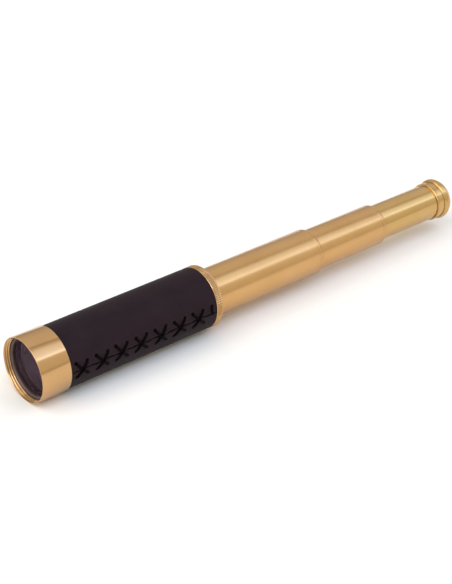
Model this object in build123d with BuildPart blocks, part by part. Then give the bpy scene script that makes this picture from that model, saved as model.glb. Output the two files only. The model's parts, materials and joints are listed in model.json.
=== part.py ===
from build123d import *
import os
from math import cos, radians, sin, sqrt

# A three-draw brass telescope. The optical axis is +X, from the objective to the eyepiece, and +Z is up.
# The origin is the centre of the front rim. The draws are pulled out to their stops. Millimetres.

# ---- driving dimensions ----

TOUCH = 0.05            # end play where a moving piece rests on its stop
RUNNING = 0.06          # radial clearance of a metal guide
FELT_RUNNING = 0.03     # radial clearance of the felt, which fills the rest of its groove

# objective cell
CELL_R = 18.0
CELL_LENGTH = 17.6
CELL_FRONT_ROUNDING = 0.25
CELL_REAR_CHAMFER = 0.15
RIM_INNER_R = 17.35
THREAD_R = 16.9         # crests of the mouth thread
THREAD_ROOT_R = 17.3
THREAD_PITCH = 1.0
THREAD_GROOVE = 0.45    # width of a groove at the crests
THREAD_START = 0.3      # end of the countersink
THREAD_LAND = 0.1       # from the countersink to the first groove
THREAD_FLAT = 0.08      # width of a groove's bottom
THREAD_GROOVES = 3
RETAINER_FRONT = 3.1
RETAINER_R = 17.1       # pitch radius of the thread that holds the retaining ring
RETAINER_BORE_R = 15.3
RETAINER_REAR = 5.3
RETAINER_CHAMFER = 0.3

# objective lenses
OBJECTIVE_R = 15.65
OBJECTIVE_BORE_R = 15.7
OBJECTIVE_CLEAR_R = 15.2
CROWN_EDGE = 1.8
CROWN_CURVES = (95.0, 80.0)
SPACER_T = 0.4
FLINT_EDGE = 3.4
FLINT_CURVE = -84.0
SEAT_BORE_R = 14.6
SEAT_T = 1.3

# barrel
BARREL_R = 16.3
BARREL_BORE_R = 15.3
BARREL_REAR = 113.0
LEATHER_R = 17.5
SEAM_GAP = 0.4
SEAM_ANGLE = 92.5       # degrees from +Z towards -Y
COLLAR_R = 17.65
COLLAR_REAR = 117.6
COLLAR_ROUNDING = (0.2, 0.9)    # front and rear edges

# lacing
STITCH_FIRST_X = 24.5
STITCH_PITCH = 12.62
STITCHES = 7
STITCH_HALF_X = 3.6
STITCH_HALF_ANGLE = 13.85
STITCH_MID_ANGLE = 91.65
LAST_STITCH_X = 109.7
THREAD_THICK = 0.9

# draw tubes, front to rear: outer radius, and x of the front and rear ends
DRAW_R = (13.54, 12.10, 10.59)
DRAW_WALL = 0.5
DRAW_FRONT = (96.6, 176.6, 229.2)
DRAW_REAR = (196.1, 248.2, 296.0)
STOP_RING_LENGTH = (5.95, 4.95, 4.95)
PROUD = 3.0             # how far a rounded shoulder stays out when its draw is pushed in
EYEPIECE_FRONT = 292.5

# slip: a felt ring in each outer tube's rear end, kept in by a retainer
FELT_RETAINER_T = 2.0
LIP_T = 1.8
FELT_GROOVE_R = (14.35, 12.55, 11.10)
HEAD_LENGTH = 4.0
SHOULDER_R = (2.9, 2.6)     # rounding of the rear shoulders of draws 1 and 2
SHOULDER_EDGE = 0.1         # flat left between a shoulder's rounding and its bore
BAFFLE_LENGTH = 2.0
BAFFLE_WALL = 0.6
BAFFLE_APERTURE_R = (12.9, 11.0)

# lens rings and stops inside the erector and the eyepiece
SLOT = (1.4, 0.7)       # width and depth of the spanner slots
TUBE_INSET = 0.6
RING_T = 1.6
STOP_T = 0.6

# erector, in the front of draw 3
ERECTOR_FRONT = 230.2
ERECTOR_BORE_R = 8.9
ERECTOR_RING_R = 8.0
ERECTOR_SPACER_R = 8.1
ERECTOR_CLEAR_R = 7.9
ERECTOR_EDGE = 1.6
ERECTOR_CURVE = 24.0
ERECTOR_SPACER_T = 7.2
ERECTOR_STOP_R = 2.6

# eyepiece
OCULAR_R = 9.4
OCULAR_BORE_R = 8.6
OCULAR_FRONT = 269.6
OCULAR_FLANGE_R = 10.0
OCULAR_RING_R = 7.9
OCULAR_CLEAR_R = 7.8
OCULAR_EDGE = 1.4
FIELD_CURVE = 22.0
EYE_CURVE = 14.0
FIELD_SPACER_T = 10.0
FIELD_STOP_R = 4.6
EYE_SPACER_T = 10.2
SLEEVE_CLEARANCE = 0.05
BEAD_R = 11.44
BEAD_LENGTH = 1.2
BEAD_ROUNDING = 0.5
BAND_R = 11.17
BAND_REAR = 297.95
SPIGOT_R = 10.9
SPIGOT_REAR = 299.2
FLANGE_R = 12.33
FLANGE_FOOT = 0.2       # step from the band up to the flange
FLANGE_CENTRE = 300.1
CAP_REAR = 303.8
CAP_END_R = 10.0
CAP_CROWN = (0.5, 0.75)     # how far before the end, and how far outside its radius, the crown passes
CAP_LIP = 0.7
EYE_HOLE_R = 5.0
EYE_HOLE_STATIONS = (0.8, 1.8)  # front and rear of the eye hole's wall behind the spigot

os.makedirs("parts", exist_ok=True)


# ---- helpers for round pieces on the optical axis ----

def ring(front, rear, outer, inner=0.0):
    """Adds a tube or disc between two stations on the axis."""
    with BuildSketch(Plane.YZ.offset(front)) as section:
        Circle(outer)
        if inner:
            Circle(inner, mode=Mode.SUBTRACT)
    extrude(section.sketch, amount=rear - front)


def bore(front, rear, radius):
    """Cuts a round hole between two stations on the axis."""
    with BuildSketch(Plane.YZ.offset(front)) as section:
        Circle(radius)
    extrude(section.sketch, amount=rear - front, mode=Mode.SUBTRACT)


def turn(points, mode=Mode.ADD):
    """Turns a closed profile of (x, radius) corners about the axis."""
    with BuildSketch(Plane.XY) as profile:
        with BuildLine():
            Polyline(*points, close=True)
        make_face()
    revolve(profile.sketch, axis=Axis.X, mode=mode)


def circles_at(part, x, radius):
    """The round edges of a part that lie at one station and have one radius."""
    edges = part.edges().filter_by(GeomType.CIRCLE)
    return edges.filter_by(lambda e: abs(e.radius - radius) < 1e-3 and abs(e.arc_center.X - x) < 1e-3)


def save(piece, name):
    piece.part.label = name
    export_step(piece.part, f"parts/{name}.step")


def sag(radius, reach):
    """Depth of a spherical face of that radius at that distance from the axis."""
    return radius - sqrt(radius * radius - reach * reach)


def lens(name, front, edge, outer, clear, front_radius, rear_radius):
    """A round lens. A positive radius bulges forwards at the front face and rearwards at the rear face, a
    negative one is hollow, and None is flat. Outside the clear radius both faces are flat, for the rings."""
    rear = front + edge
    front_sag = 0 if front_radius is None else sag(abs(front_radius), clear) * (1 if front_radius > 0 else -1)
    rear_sag = 0 if rear_radius is None else sag(abs(rear_radius), clear) * (1 if rear_radius > 0 else -1)
    front_vertex, rear_vertex = front - front_sag, rear + rear_sag
    with BuildPart() as glass:
        with BuildSketch(Plane.XY):
            with BuildLine():
                Line((front_vertex, 0), (rear_vertex, 0))
                if rear_radius is None:
                    Line((rear_vertex, 0), (rear, clear))
                else:
                    middle = rear_vertex - (rear_sag / abs(rear_sag)) * sag(abs(rear_radius), clear / 2)
                    ThreePointArc((rear_vertex, 0), (middle, clear / 2), (rear, clear))
                Polyline((rear, clear), (rear, outer), (front, outer), (front, clear))
                if front_radius is None:
                    Line((front, clear), (front_vertex, 0))
                else:
                    middle = front_vertex + (front_sag / abs(front_sag)) * sag(abs(front_radius), clear / 2)
                    ThreePointArc((front, clear), (middle, clear / 2), (front_vertex, 0))
            make_face()
        revolve(axis=Axis.X)
    save(glass, name)


def plain_ring(name, front, rear, outer, inner, edge=0.0):
    """A turned ring, with its inner edges broken where an edge is given."""
    with BuildPart() as piece:
        ring(front, rear, outer, inner)
        if edge:
            chamfer(circles_at(piece.part, front, inner) + circles_at(piece.part, rear, inner), edge)
    save(piece, name)


def slots(face, outer, inner, width, depth):
    """Cuts two spanner slots right across a ring, opposite each other, from a station rearwards."""
    with BuildSketch(Plane.YZ.offset(face)) as section:
        with Locations((outer, 0), (-outer, 0)):
            Rectangle(2 * (outer - inner) + RUNNING, width)
    extrude(section.sketch, amount=depth, mode=Mode.SUBTRACT)


def spanner_ring(name, front, rear, outer, inner, slot_face):
    """A threaded ring, drawn plain at its pitch radius, with two slots for a pin spanner in one face."""
    width, depth = SLOT
    with BuildPart() as piece:
        ring(front, rear, outer, inner)
        slots(front if slot_face == "front" else rear - depth, outer, inner, width, depth)
    save(piece, name)


def stations(start, *lengths):
    """Where parts that are stacked behind one another begin and end."""
    ends = [start]
    for length in lengths:
        ends.append(ends[-1] + length)
    return ends


# ---- objective ----

lens_front = RETAINER_REAR
spacer_front = lens_front + CROWN_EDGE
flint_front = spacer_front + SPACER_T
seat_front = flint_front + FLINT_EDGE
barrel_front = seat_front + SEAT_T

with BuildPart() as objective_cell:
    ring(0, CELL_LENGTH, CELL_R, THREAD_R)
    # countersunk mouth, then the thread as rings, then the bore for the retaining ring at its pitch radius
    inside = RETAINER_BORE_R
    turn([(0, inside), (0, RIM_INNER_R), (THREAD_START, THREAD_R), (THREAD_START, inside)],
         mode=Mode.SUBTRACT)
    for groove in range(THREAD_GROOVES):
        start = THREAD_START + THREAD_LAND + groove * THREAD_PITCH
        root = start + (THREAD_GROOVE - THREAD_FLAT) / 2
        turn([(start, inside), (start, THREAD_R), (root, THREAD_ROOT_R), (root + THREAD_FLAT, THREAD_ROOT_R),
              (start + THREAD_GROOVE, THREAD_R), (start + THREAD_GROOVE, inside)], mode=Mode.SUBTRACT)
    bore(RETAINER_FRONT, RETAINER_REAR, RETAINER_R)
    # lens seat: the bore is filled behind the retaining ring, then opened to its three radii
    ring(RETAINER_REAR, CELL_LENGTH, CELL_R, SEAT_BORE_R)
    bore(RETAINER_REAR, seat_front, OBJECTIVE_BORE_R)
    bore(barrel_front, CELL_LENGTH, BARREL_R)
    fillet(circles_at(objective_cell.part, 0, CELL_R), CELL_FRONT_ROUNDING)
    chamfer(circles_at(objective_cell.part, CELL_LENGTH, CELL_R), CELL_REAR_CHAMFER)
save(objective_cell, "objective_cell")

with BuildPart() as objective_retaining_ring:
    ring(RETAINER_FRONT, RETAINER_REAR, RETAINER_R, RETAINER_BORE_R)
    chamfer(circles_at(objective_retaining_ring.part, RETAINER_FRONT, RETAINER_BORE_R), RETAINER_CHAMFER)
save(objective_retaining_ring, "objective_retaining_ring")

lens("objective_crown_lens", lens_front, CROWN_EDGE, OBJECTIVE_R, OBJECTIVE_CLEAR_R, *CROWN_CURVES)
plain_ring("objective_spacer", spacer_front, flint_front, OBJECTIVE_R, OBJECTIVE_CLEAR_R)
lens("objective_flint_lens", flint_front, FLINT_EDGE, OBJECTIVE_R, OBJECTIVE_CLEAR_R, FLINT_CURVE, None)


# ---- barrel ----

plain_ring("barrel_tube", barrel_front, BARREL_REAR, BARREL_R, BARREL_BORE_R)


def around(x, angle, radius):
    """A point at a station, at an angle in degrees from +Z towards -Y."""
    return (x, -radius * sin(radians(angle)), radius * cos(radians(angle)))


with BuildPart() as leather_wrap:
    ring(CELL_LENGTH, BARREL_REAR, LEATHER_R, BARREL_R)
    # the two edges of the leather meet in a butt seam
    seam_plane = Plane(origin=around(CELL_LENGTH, SEAM_ANGLE, LEATHER_R), x_dir=(1, 0, 0),
                       z_dir=around(0, SEAM_ANGLE - 90, 1))
    with BuildSketch(seam_plane):
        Rectangle(2 * BARREL_REAR, 3 * (LEATHER_R - BARREL_R))
    extrude(amount=SEAM_GAP / 2, both=True, mode=Mode.SUBTRACT)
save(leather_wrap, "leather_wrap")


def strand(x_a, angle_a, x_b, angle_b, lift):
    """One strand of thread over the leather, from hole to hole. Its ends go into the leather."""
    buried = LEATHER_R - THREAD_THICK / 2
    over = LEATHER_R + THREAD_THICK / 2 + lift
    a, b = around(x_a, angle_a, buried), around(x_b, angle_b, buried)
    top = around((x_a + x_b) / 2, (angle_a + angle_b) / 2, over)
    with BuildLine() as path:
        ThreePointArc(a, top, b)
    with BuildSketch(Plane(origin=path.line @ 0, z_dir=path.line % 0)) as section:
        Circle(THREAD_THICK / 2)
    sweep(section.sketch, path=path.line)


with BuildPart() as lacing:
    low = STITCH_MID_ANGLE + STITCH_HALF_ANGLE
    high = STITCH_MID_ANGLE - STITCH_HALF_ANGLE
    for stitch in range(STITCHES):
        middle = STITCH_FIRST_X + stitch * STITCH_PITCH
        strand(middle - STITCH_HALF_X, high, middle + STITCH_HALF_X, low, 0)
        strand(middle - STITCH_HALF_X, low, middle + STITCH_HALF_X, high, THREAD_THICK + TOUCH)
    strand(LAST_STITCH_X, high, LAST_STITCH_X, SEAM_ANGLE, 0)
save(lacing, "lacing")

baffle_rear = DRAW_FRONT[0] - (DRAW_REAR[0] - PROUD - COLLAR_REAR) - TOUCH
draw_2_travel = DRAW_REAR[1] - PROUD - DRAW_REAR[0]


def baffle(name, rear, outer, aperture):
    """A diaphragm: a short sleeve in the tube with a thin web at its front. It also stops the next draw."""
    with BuildPart() as piece:
        ring(rear - BAFFLE_LENGTH, rear, outer, outer - BAFFLE_WALL)
        ring(rear - BAFFLE_LENGTH, rear - BAFFLE_LENGTH + BAFFLE_WALL, outer - BAFFLE_WALL, aperture)
    save(piece, name)


baffle("barrel_baffle", baffle_rear, BARREL_BORE_R, BAFFLE_APERTURE_R[0])

# The knurled collar pushes into the rear of the barrel tube, and its bore holds the first felt ring.
felt_1_front = DRAW_FRONT[0] + STOP_RING_LENGTH[0] + TOUCH + FELT_RETAINER_T
with BuildPart() as barrel_collar:
    ring(BARREL_REAR, COLLAR_REAR, COLLAR_R, DRAW_R[0] + RUNNING)
    ring(felt_1_front, BARREL_REAR, BARREL_BORE_R, FELT_GROOVE_R[0])
    bore(BARREL_REAR, COLLAR_REAR - LIP_T, FELT_GROOVE_R[0])
    fillet(circles_at(barrel_collar.part, BARREL_REAR, COLLAR_R), COLLAR_ROUNDING[0])
    fillet(circles_at(barrel_collar.part, COLLAR_REAR, COLLAR_R), COLLAR_ROUNDING[1])
save(barrel_collar, "barrel_collar")


# ---- draws ----

def felt_ring(number, front, rear, groove, tube):
    """The felt that grips a draw tube."""
    plain_ring(f"felt_ring_{number}", front + TOUCH, rear - TOUCH, groove - FELT_RUNNING, tube + FELT_RUNNING)


plain_ring("barrel_felt_retainer", felt_1_front - FELT_RETAINER_T, felt_1_front, BARREL_BORE_R,
           DRAW_R[0] + RUNNING)
felt_ring(1, felt_1_front, COLLAR_REAR - LIP_T, FELT_GROOVE_R[0], DRAW_R[0])


def end_collar(number, rear, outer, inner_tube, groove, retainer_rear, rounding):
    """The rear end of a draw tube: a head with a rounded shoulder, and a spigot that holds the felt."""
    lip_bore = inner_tube + RUNNING
    head_front = rear - HEAD_LENGTH
    drop = outer - lip_bore - SHOULDER_EDGE
    run = sqrt(rounding ** 2 - (rounding - drop) ** 2)
    with BuildPart() as piece:
        with BuildSketch(Plane.XY):
            with BuildLine():
                Polyline((rear, outer - drop), (rear, lip_bore), (rear - LIP_T, lip_bore),
                         (rear - LIP_T, groove), (retainer_rear, groove), (retainer_rear, outer - DRAW_WALL),
                         (head_front, outer - DRAW_WALL), (head_front, outer), (rear - run, outer))
                RadiusArc((rear - run, outer), (rear, outer - drop), rounding)
            make_face()
        revolve(axis=Axis.X)
    save(piece, f"draw_{number}_end_collar")


bores = (BARREL_BORE_R, DRAW_R[0] - DRAW_WALL, DRAW_R[1] - DRAW_WALL)
for draw in range(3):
    number = draw + 1
    front, rear, outer = DRAW_FRONT[draw], DRAW_REAR[draw], DRAW_R[draw]
    tube_rear = rear - HEAD_LENGTH if draw < 2 else rear
    plain_ring(f"draw_tube_{number}", front, tube_rear, outer, outer - DRAW_WALL)
    plain_ring(f"draw_{number}_stop_ring", front, front + STOP_RING_LENGTH[draw],
               bores[draw] - RUNNING, outer)
    if draw < 2:
        retainer_front = DRAW_FRONT[draw + 1] + STOP_RING_LENGTH[draw + 1] + TOUCH
        retainer_rear = retainer_front + FELT_RETAINER_T
        inner_tube = DRAW_R[draw + 1]
        plain_ring(f"draw_{number}_felt_retainer", retainer_front, retainer_rear, outer - DRAW_WALL,
                   inner_tube + RUNNING)
        felt_ring(number + 1, retainer_rear, rear - LIP_T, FELT_GROOVE_R[draw + 1], inner_tube)
        end_collar(number, rear, outer, inner_tube, FELT_GROOVE_R[draw + 1], retainer_rear, SHOULDER_R[draw])

baffle("draw_1_baffle", DRAW_FRONT[1] - draw_2_travel - TOUCH, DRAW_R[0] - DRAW_WALL, BAFFLE_APERTURE_R[1])


# ---- erector: two lenses in a short tube, with a stop between them ----

erector = stations(ERECTOR_FRONT + TUBE_INSET, RING_T, ERECTOR_EDGE, ERECTOR_SPACER_T, STOP_T,
                   ERECTOR_SPACER_T, ERECTOR_EDGE, RING_T)
plain_ring("erector_tube", ERECTOR_FRONT, erector[-1] + TUBE_INSET, DRAW_R[2] - DRAW_WALL, ERECTOR_BORE_R)
spanner_ring("erector_front_ring", erector[0], erector[1], ERECTOR_BORE_R, ERECTOR_RING_R, "front")
lens("erector_front_lens", erector[1], ERECTOR_EDGE, ERECTOR_BORE_R, ERECTOR_CLEAR_R, None, ERECTOR_CURVE)
plain_ring("erector_front_spacer", erector[2], erector[3], ERECTOR_BORE_R, ERECTOR_SPACER_R)
plain_ring("erector_stop", erector[3], erector[4], ERECTOR_BORE_R, ERECTOR_STOP_R)
plain_ring("erector_rear_spacer", erector[4], erector[5], ERECTOR_BORE_R, ERECTOR_SPACER_R)
lens("erector_rear_lens", erector[5], ERECTOR_EDGE, ERECTOR_BORE_R, ERECTOR_CLEAR_R, ERECTOR_CURVE, None)
spanner_ring("erector_rear_ring", erector[6], erector[7], ERECTOR_BORE_R, ERECTOR_RING_R, "rear")


# ---- eyepiece: two lenses in a tube that hangs in the housing by its flange ----

with BuildPart() as eyepiece_lens_tube:
    ring(OCULAR_FRONT, SPIGOT_REAR, OCULAR_R, OCULAR_BORE_R)
    ring(BAND_REAR, SPIGOT_REAR, OCULAR_FLANGE_R, OCULAR_BORE_R)
save(eyepiece_lens_tube, "eyepiece_lens_tube")

ocular = stations(OCULAR_FRONT + TUBE_INSET, RING_T, OCULAR_EDGE, FIELD_SPACER_T, STOP_T, EYE_SPACER_T,
                  OCULAR_EDGE, RING_T)
spanner_ring("field_lens_ring", ocular[0], ocular[1], OCULAR_BORE_R, OCULAR_RING_R, "front")
lens("field_lens", ocular[1], OCULAR_EDGE, OCULAR_BORE_R, OCULAR_CLEAR_R, FIELD_CURVE, None)
plain_ring("field_lens_spacer", ocular[2], ocular[3], OCULAR_BORE_R, OCULAR_RING_R)
plain_ring("field_stop", ocular[3], ocular[4], OCULAR_BORE_R, FIELD_STOP_R)
plain_ring("eye_lens_spacer", ocular[4], ocular[5], OCULAR_BORE_R, OCULAR_RING_R)
lens("eye_lens", ocular[5], OCULAR_EDGE, OCULAR_BORE_R, OCULAR_CLEAR_R, EYE_CURVE, None)
spanner_ring("eye_lens_ring", ocular[6], ocular[7], OCULAR_BORE_R, OCULAR_RING_R, "rear")

bead_rear = EYEPIECE_FRONT + BEAD_LENGTH
with BuildPart() as eyepiece_housing:
    ring(EYEPIECE_FRONT, bead_rear, BEAD_R, DRAW_R[2])
    bead_edges = circles_at(eyepiece_housing.part, EYEPIECE_FRONT, BEAD_R)
    bead_edges += circles_at(eyepiece_housing.part, bead_rear, BEAD_R)
    fillet(bead_edges, BEAD_ROUNDING)
    ring(EYEPIECE_FRONT + BEAD_ROUNDING, BAND_REAR, BAND_R, DRAW_R[2])
    ring(BAND_REAR, SPIGOT_REAR, SPIGOT_R, OCULAR_FLANGE_R + SLEEVE_CLEARANCE)
    ring(DRAW_REAR[2], BAND_REAR, DRAW_R[2], OCULAR_R + SLEEVE_CLEARANCE)
save(eyepiece_housing, "eyepiece_housing")

flange_half = FLANGE_CENTRE - BAND_REAR
flange_foot_r = BAND_R + FLANGE_FOOT
hole_front, hole_rear = SPIGOT_REAR + EYE_HOLE_STATIONS[0], SPIGOT_REAR + EYE_HOLE_STATIONS[1]
with BuildPart() as eye_cap:
    with BuildSketch(Plane.XY):
        with BuildLine():
            Polyline((BAND_REAR, SPIGOT_R), (BAND_REAR, flange_foot_r))
            ThreePointArc((BAND_REAR, flange_foot_r), (FLANGE_CENTRE, FLANGE_R),
                          (FLANGE_CENTRE + flange_half, flange_foot_r))
            ThreePointArc((FLANGE_CENTRE + flange_half, flange_foot_r),
                          (CAP_REAR - CAP_CROWN[0], CAP_END_R + CAP_CROWN[1]), (CAP_REAR, CAP_END_R))
            Polyline((CAP_REAR, CAP_END_R), (CAP_REAR, CAP_END_R - CAP_LIP), (hole_rear, EYE_HOLE_R),
                     (hole_front, EYE_HOLE_R), (hole_front, OCULAR_BORE_R),
                     (SPIGOT_REAR, OCULAR_BORE_R), (SPIGOT_REAR, SPIGOT_R), (BAND_REAR, SPIGOT_R))
        make_face()
    revolve(axis=Axis.X)
save(eye_cap, "eye_cap")
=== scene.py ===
import json
import math

import bpy
import numpy as np
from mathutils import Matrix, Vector


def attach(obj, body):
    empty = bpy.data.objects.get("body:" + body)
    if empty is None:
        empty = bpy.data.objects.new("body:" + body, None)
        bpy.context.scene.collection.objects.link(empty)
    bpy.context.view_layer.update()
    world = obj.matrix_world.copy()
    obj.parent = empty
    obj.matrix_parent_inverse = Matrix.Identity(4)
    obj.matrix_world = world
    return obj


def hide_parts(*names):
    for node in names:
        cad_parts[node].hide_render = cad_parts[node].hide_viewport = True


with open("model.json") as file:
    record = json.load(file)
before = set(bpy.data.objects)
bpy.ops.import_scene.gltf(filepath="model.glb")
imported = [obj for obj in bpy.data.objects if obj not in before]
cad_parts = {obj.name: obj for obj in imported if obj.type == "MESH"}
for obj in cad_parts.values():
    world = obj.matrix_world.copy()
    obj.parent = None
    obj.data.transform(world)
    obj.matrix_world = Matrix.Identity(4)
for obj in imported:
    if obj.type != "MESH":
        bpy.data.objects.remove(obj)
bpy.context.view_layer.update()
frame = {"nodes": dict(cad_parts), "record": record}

# Lengths are in metres. The telescope's optical axis is +X, from the objective to the eyepiece, and +Z is up.
# An angle round the axis starts at +Z and grows towards -Y.
MM = 0.001
TURN = 2 * math.pi


def add_object(name, data):
    thing = bpy.data.objects.new(name, data)
    bpy.context.scene.collection.objects.link(thing)
    return thing


# ---- camera ----

CAMERA_AT = (-0.3450, -0.5686, 0.4256)
CAMERA_LOOKS = (0.5577, 0.6622, -0.5004)
CAMERA_LENS = 95.6      # millimetres
SENSOR_WIDTH = 36       # millimetres


def make_camera():
    data = bpy.data.cameras.new("camera")
    data.lens = CAMERA_LENS
    data.sensor_width = SENSOR_WIDTH
    data.clip_start = 10 * MM
    camera = add_object("camera", data)
    camera.location = CAMERA_AT
    camera.rotation_euler = Vector(CAMERA_LOOKS).to_track_quat("-Z", "Y").to_euler()
    bpy.context.scene.camera = camera


make_camera()


# ---- sizes read from the frame ----

class Span:
    """Where a turned CAD node lies: its front and rear stations and its outer and inner radii."""

    def __init__(self, node):
        mesh = frame["nodes"][node].data
        points = np.array([v.co for v in mesh.vertices])
        radii = np.hypot(points[:, 1], points[:, 2])
        self.front, self.rear = points[:, 0].min(), points[:, 0].max()
        self.outer, self.inner = radii.max(), radii.min()


cell = Span("objective_cell")
retainer = Span("objective_retaining_ring")
crown = Span("objective_crown_lens")
flint = Span("objective_flint_lens")
barrel_tube = Span("barrel_tube")
leather = Span("leather_wrap")
collar = Span("barrel_collar")
tube_1, tube_2, tube_3 = (Span(f"draw_tube_{n}") for n in (1, 2, 3))
end_1, end_2 = (Span(f"draw_{n}_end_collar") for n in (1, 2))
felt_1, felt_2, felt_3 = (Span(f"felt_ring_{n}") for n in (1, 2, 3))
housing = Span("eyepiece_housing")
lens_tube = Span("eyepiece_lens_tube")
cap = Span("eye_cap")

FIT = 0.05 * MM         # what a seat is wider or longer than the piece in it
FELT_FIT = 0.03 * MM    # what a felt's groove is wider than the felt
BROKEN = 0.03 * MM      # the size of an edge that is only just broken
TINY = 1e-7


# ---- material tools ----

class Tree:
    """A node tree, with short ways to add nodes and join them."""

    def __init__(self, tree):
        self.tree = tree
        tree.nodes.clear()

    def add(self, kind, **settings):
        node = self.tree.nodes.new(kind)
        for name, value in settings.items():
            setattr(node, name, value)
        return node

    def join(self, a, b):
        self.tree.links.new(a, b)

    def feed(self, value, socket):
        """Gives a socket a number, a colour or what another socket sends."""
        if isinstance(value, (int, float)):
            socket.default_value = value
        elif isinstance(value, tuple):
            socket.default_value = (*value, 1)
        else:
            self.join(value, socket)

    def combine(self, a, b, operation="ADD"):
        node = self.add("ShaderNodeMath", operation=operation)
        self.feed(a, node.inputs[0])
        self.feed(b, node.inputs[1])
        return node.outputs[0]

    def spread(self, value, low, high, to_low, to_high):
        """Maps low..high to to_low..to_high, held at both ends."""
        node = self.add("ShaderNodeMapRange")
        limits = {"From Min": low, "From Max": high, "To Min": to_low, "To Max": to_high}
        for name, number in limits.items():
            node.inputs[name].default_value = number
        self.join(value, node.inputs["Value"])
        return node.outputs[0]


class Surface(Tree):
    """A material's node tree round one Principled shader, with patterns in the object's own coordinates."""

    def __init__(self, name):
        self.material = bpy.data.materials.new(name)
        self.material.use_nodes = True
        super().__init__(self.material.node_tree)
        self.shader = self.add("ShaderNodeBsdfPrincipled")
        output = self.add("ShaderNodeOutputMaterial")
        self.join(self.shader.outputs[0], output.inputs[0])
        self.place = self.add("ShaderNodeTexCoord").outputs["Object"]

    def set(self, **values):
        """Sets the shader's own sockets, with underscores for the spaces in their names."""
        for name, value in values.items():
            self.shader.inputs[name.replace("_", " ")].default_value = value

    def drive(self, name, source):
        self.join(source, self.shader.inputs[name])

    def scaled(self, scale):
        mapping = self.add("ShaderNodeMapping")
        mapping.inputs["Scale"].default_value = scale
        self.join(self.place, mapping.inputs[0])
        return mapping.outputs[0]

    def noise(self, scale, detail=2.0, roughness=0.5):
        """Noise with its own scale along each axis, in cycles per metre."""
        node = self.add("ShaderNodeTexNoise")
        node.inputs["Scale"].default_value = 1.0
        node.inputs["Detail"].default_value = detail
        node.inputs["Roughness"].default_value = roughness
        self.join(self.scaled(scale), node.inputs["Vector"])
        return node.outputs["Fac"]

    def cells(self, scale, feature="F1"):
        """Cells with their own scale along each axis, in cycles per metre."""
        node = self.add("ShaderNodeTexVoronoi", feature=feature)
        node.inputs["Scale"].default_value = 1.0
        self.join(self.scaled(scale), node.inputs["Vector"])
        return node.outputs["Distance"]

    def colours(self, factor, first, second):
        """Mixes two colours, each given as numbers or as a socket."""
        node = self.add("ShaderNodeMix", data_type="RGBA")
        self.feed(first, node.inputs[6])
        self.feed(second, node.inputs[7])
        self.join(factor, node.inputs[0])
        return node.outputs[2]

    def bump(self, height, distance, strength=1.0, under=None):
        node = self.add("ShaderNodeBump")
        node.inputs["Strength"].default_value = strength
        node.inputs["Distance"].default_value = distance
        self.join(height, node.inputs["Height"])
        if under is not None:
            self.join(under, node.inputs["Normal"])
        return node.outputs[0]

    def wear_and_painted_light(self, side=1):
        """How worn a point is, or how lit by a painted highlight, from 0 to 1, or with side -1 how dark it
        is, blackened or painted with shade: its attribute is then below 0.
        """
        value = self.add("ShaderNodeAttribute", attribute_name="wear_and_painted_light").outputs["Fac"]
        return self.spread(value, 0, side, 0, 1)


NOISE = (0.3, 0.7)      # the range that most of a noise's values lie in


# ---- materials ----

BLACKENING_AND_SHADE_SHARE = 0.16      # the colour of blackening and of painted shade, as a share of the darker brass
BLOTCH_SHADE = 1.8      # the blotches on blackened brass, as a share of its colour
COATING = (0.34, 0.10, 0.24)
# The purple of the glass's haze, where clean and where wiped: a painted reflection of its coating.
HAZE_PAINTED_REFLECTION = (0.62, 0.38, 0.51)
WIPE_PAINTED_REFLECTION = (0.72, 0.48, 0.61)
LEATHER_DARK = (0.0125, 0.0058, 0.0080)
LEATHER_BURNISH_AND_GLINT = (0.0205, 0.0098, 0.0132)
LEATHER_PAINTED_SHADE = (0.0036, 0.0016, 0.0020)
CORD_DARK = (0.0012, 0.0004, 0.0006)
CORD_WAXY = (0.0036, 0.0015, 0.0019)
FELT_DARK = (0.02, 0.014, 0.012)
FELT_LIGHT = (0.05, 0.038, 0.034)


def brass(name, light, dark, smooth, rough, marks_scale, marks_depth, anisotropic=0.0):
    """Lacquered brass: fine marks, faint stains, bright worn edges, blackened insides, and painted shade and
    painted highlights in its grooves.
    """
    m = Surface(name)
    marks = m.noise(marks_scale, detail=3, roughness=0.7)
    stains = m.noise((55, 70, 70), detail=4, roughness=0.6)
    smears = m.noise((300, 120, 120), detail=3, roughness=0.6)
    # The first is how worn it is and how lit by painted highlights; the second how blackened it is and how
    # darkly painted with shade.
    worn, blackening_and_painted_shade = m.wear_and_painted_light(), m.wear_and_painted_light(-1)
    tone = m.combine(m.spread(stains, *NOISE, 0.0, 0.6), m.spread(marks, *NOISE, 0.0, 0.4))
    tone = m.combine(tone, m.combine(worn, 0.5, "MULTIPLY"), "SUBTRACT")
    blackened_and_shaded_colour = tuple(BLACKENING_AND_SHADE_SHARE * c for c in dark)
    m.drive("Base Color", m.colours(blackening_and_painted_shade, m.colours(tone, light, dark), blackened_and_shaded_colour))
    coarse = m.combine(m.spread(smears, 0.35, 0.7, 0.0, 0.5), m.spread(marks, *NOISE, 0.0, 0.5))
    coarse = m.combine(coarse, m.combine(worn, 0.4, "MULTIPLY"), "SUBTRACT")
    clean = m.spread(coarse, 0.0, 1.0, smooth, rough)
    m.drive("Roughness", m.combine(clean, m.combine(blackening_and_painted_shade, 0.25, "MULTIPLY")))
    m.drive("Normal", m.bump(marks, marks_depth))
    m.drive("Tangent", m.add("ShaderNodeTangent", direction_type="RADIAL", axis="X").outputs[0])
    m.set(Metallic=1.0, Anisotropic=anisotropic)
    return m.material


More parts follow.
